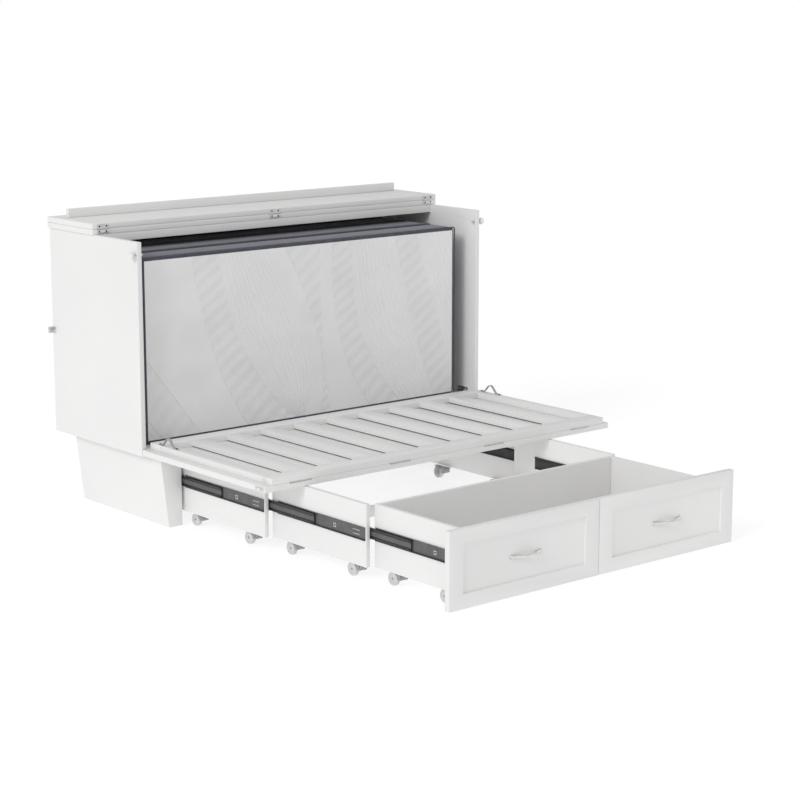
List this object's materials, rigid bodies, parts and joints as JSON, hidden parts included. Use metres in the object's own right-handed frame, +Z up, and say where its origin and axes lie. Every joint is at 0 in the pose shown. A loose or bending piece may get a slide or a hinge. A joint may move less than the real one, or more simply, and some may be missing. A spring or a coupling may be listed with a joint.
{
  "type": "murphy wall bed",
  "caption": "White cabinet bed, half opened: lid folded back, front panel and slatted foot panel down, nested drawer sections rolled out, folded mattress standing inside.",
  "frame": {"origin": "on the floor, under the middle of the opened bed's footprint", "axes": "+X to the right of someone facing the bed's foot from inside the room, +Y back towards the wall, +Z up"},
  "size_m": [1.6906, 2.1404, 1.125],
  "materials": {
    "painted_wood": "satin white paint",
    "satin_nickel": "satin nickel plate",
    "black_steel": "black electrophoretic coat",
    "caster_plastic": "pale grey moulded",
    "knob_plastic": "white moulded",
    "webbing": "woven webbing",
    "ticking": "quilted knit with a slate band"
  },
  "bodies": {
    "cabinet": {"side_panel_left": "painted_wood", "side_panel_right": "painted_wood", "pedestal_left": "painted_wood", "pedestal_right": "painted_wood", "back_panel": "painted_wood", "deck_panel": "painted_wood", "top_board": "painted_wood", "top_rail": "painted_wood", "base_rail": "painted_wood", "mattress": "ticking"},
    "lid": {"lid_flap": "painted_wood", "lid_cleat": "painted_wood", "lid_hinge_left": "satin_nickel", "lid_hinge_center": "satin_nickel", "lid_hinge_right": "satin_nickel"},
    "front_panel": {"front_panel": "painted_wood", "panel_hinge_left": "satin_nickel", "panel_hinge_right": "satin_nickel"},
    "foot_panel": {"foot_slat_frame": "painted_wood", "pull_loop_left": "webbing", "pull_loop_right": "webbing"},
    "section_1": {"section_1_board_left": "painted_wood", "section_1_board_right": "painted_wood", "section_1_tie": "painted_wood", "slide_1_channel_left": "black_steel", "slide_1_channel_right": "black_steel"},
    "section_2": {"section_2_board_left": "painted_wood", "section_2_board_right": "painted_wood", "section_2_tie": "painted_wood", "slide_2_channel_left": "black_steel", "slide_2_channel_right": "black_steel"},
    "drawer": {"drawer_side_left": "painted_wood", "drawer_side_right": "painted_wood", "drawer_back": "painted_wood", "drawer_bottom": "painted_wood", "drawer_front": "painted_wood", "drawer_pull_left": "satin_nickel", "drawer_pull_right": "satin_nickel", "slide_3_channel_left": "black_steel", "slide_3_channel_right": "black_steel"},
    "slide_1_members": {"slide_1_member_left": "black_steel", "slide_1_member_right": "black_steel"},
    "slide_2_members": {"slide_2_member_left": "black_steel", "slide_2_member_right": "black_steel"},
    "slide_3_members": {"slide_3_member_left": "black_steel", "slide_3_member_right": "black_steel"},
    "lock_left": {"lock_knob_left": "knob_plastic"},
    "lock_right": {"lock_knob_right": "knob_plastic"},
    "caster_1_left_rear": {"caster_1_left_rear": "caster_plastic"},
    "caster_1_left_front": {"caster_1_left_front": "caster_plastic"},
    "caster_1_right_rear": {"caster_1_right_rear": "caster_plastic"},
    "caster_1_right_front": {"caster_1_right_front": "caster_plastic"},
    "caster_2_left_rear": {"caster_2_left_rear": "caster_plastic"},
    "caster_2_left_front": {"caster_2_left_front": "caster_plastic"},
    "caster_2_right_rear": {"caster_2_right_rear": "caster_plastic"},
    "caster_2_right_front": {"caster_2_right_front": "caster_plastic"},
    "caster_3_left_rear": {"caster_3_left_rear": "caster_plastic"},
    "caster_3_left_front": {"caster_3_left_front": "caster_plastic"},
    "caster_3_right_rear": {"caster_3_right_rear": "caster_plastic"},
    "caster_3_right_front": {"caster_3_right_front": "caster_plastic"}
  },
  "joints": [
    {"name": "lid_fold", "type": "hinge", "parent": "cabinet", "child": "lid", "pos_m": [0, 0.74915, 1.07115], "axis": [1, 0, 0], "range_deg": [0, 180]},
    {"name": "front_panel_fold", "type": "hinge", "parent": "cabinet", "child": "front_panel", "pos_m": [0, 0.47015, 0.295], "axis": [-1, 0, 0], "range_deg": [0, 90]},
    {"name": "foot_panel_fold", "type": "hinge", "parent": "front_panel", "child": "foot_panel", "pos_m": [0, -0.27985, 0.29415], "axis": [-1, 0, 0], "range_deg": [-180, 0]},
    {"name": "section_1_slide", "type": "slide", "parent": "cabinet", "child": "section_1", "axis": [0, 1, 0], "range_m": [0, 0.524]},
    {"name": "section_2_slide", "type": "slide", "parent": "section_1", "child": "section_2", "axis": [0, 1, 0], "range_m": [0, 0.526]},
    {"name": "drawer_slide", "type": "slide", "parent": "section_2", "child": "drawer", "axis": [0, 1, 0], "range_m": [0, 0.42]},
    {"name": "slide_1_member_run", "type": "slide", "parent": "cabinet", "child": "slide_1_members", "axis": [0, 1, 0], "range_m": [0, 0.262]},
    {"name": "slide_2_member_run", "type": "slide", "parent": "section_1", "child": "slide_2_members", "axis": [0, 1, 0], "range_m": [0, 0.263]},
    {"name": "slide_3_member_run", "type": "slide", "parent": "section_2", "child": "slide_3_members", "axis": [0, 1, 0], "range_m": [0, 0.21]},
    {"name": "lock_left_push", "type": "slide", "parent": "cabinet", "child": "lock_left", "axis": [1, 0, 0], "range_m": [0, 0.011]},
    {"name": "lock_right_push", "type": "slide", "parent": "cabinet", "child": "lock_right", "axis": [-1, 0, 0], "range_m": [0, 0.011]},
    {"name": "caster_1_left_rear_spin", "type": "hinge", "parent": "section_1", "child": "caster_1_left_rear", "pos_m": [-0.648, 0.37815, 0.024], "axis": [1, 0, 0], "continuous": true},
    {"name": "caster_1_left_front_spin", "type": "hinge", "parent": "section_1", "child": "caster_1_left_front", "pos_m": [-0.648, 0.04615, 0.024], "axis": [1, 0, 0], "continuous": true},
    {"name": "caster_1_right_rear_spin", "type": "hinge", "parent": "section_1", "child": "caster_1_right_rear", "pos_m": [0.528, 0.37815, 0.024], "axis": [1, 0, 0], "continuous": true},
    {"name": "caster_1_right_front_spin", "type": "hinge", "parent": "section_1", "child": "caster_1_right_front", "pos_m": [0.528, 0.04615, 0.024], "axis": [1, 0, 0], "continuous": true},
    {"name": "caster_2_left_rear_spin", "type": "hinge", "parent": "section_2", "child": "caster_2_left_rear", "pos_m": [-0.6195, -0.16185, 0.024], "axis": [1, 0, 0], "continuous": true},
    {"name": "caster_2_left_front_spin", "type": "hinge", "parent": "section_2", "child": "caster_2_left_front", "pos_m": [-0.6195, -0.50385, 0.024], "axis": [1, 0, 0], "continuous": true},
    {"name": "caster_2_right_rear_spin", "type": "hinge", "parent": "section_2", "child": "caster_2_right_rear", "pos_m": [0.4995, -0.16185, 0.024], "axis": [1, 0, 0], "continuous": true},
    {"name": "caster_2_right_front_spin", "type": "hinge", "parent": "section_2", "child": "caster_2_right_front", "pos_m": [0.4995, -0.50385, 0.024], "axis": [1, 0, 0], "continuous": true},
    {"name": "caster_3_left_rear_spin", "type": "hinge", "parent": "drawer", "child": "caster_3_left_rear", "pos_m": [-0.591, -0.68385, 0.024], "axis": [1, 0, 0], "continuous": true},
    {"name": "caster_3_left_front_spin", "type": "hinge", "parent": "drawer", "child": "caster_3_left_front", "pos_m": [-0.591, -0.94585, 0.024], "axis": [1, 0, 0], "continuous": true},
    {"name": "caster_3_right_rear_spin", "type": "hinge", "parent": "drawer", "child": "caster_3_right_rear", "pos_m": [0.471, -0.68385, 0.024], "axis": [1, 0, 0], "continuous": true},
    {"name": "caster_3_right_front_spin", "type": "hinge", "parent": "drawer", "child": "caster_3_right_front", "pos_m": [0.471, -0.94585, 0.024], "axis": [1, 0, 0], "continuous": true}
  ],
  "couplings": [
    {"joint": "slide_1_member_run", "follows": "section_1_slide", "ratio": 0.5},
    {"joint": "slide_2_member_run", "follows": "section_2_slide", "ratio": 0.5},
    {"joint": "slide_3_member_run", "follows": "drawer_slide", "ratio": 0.5}
  ]
}
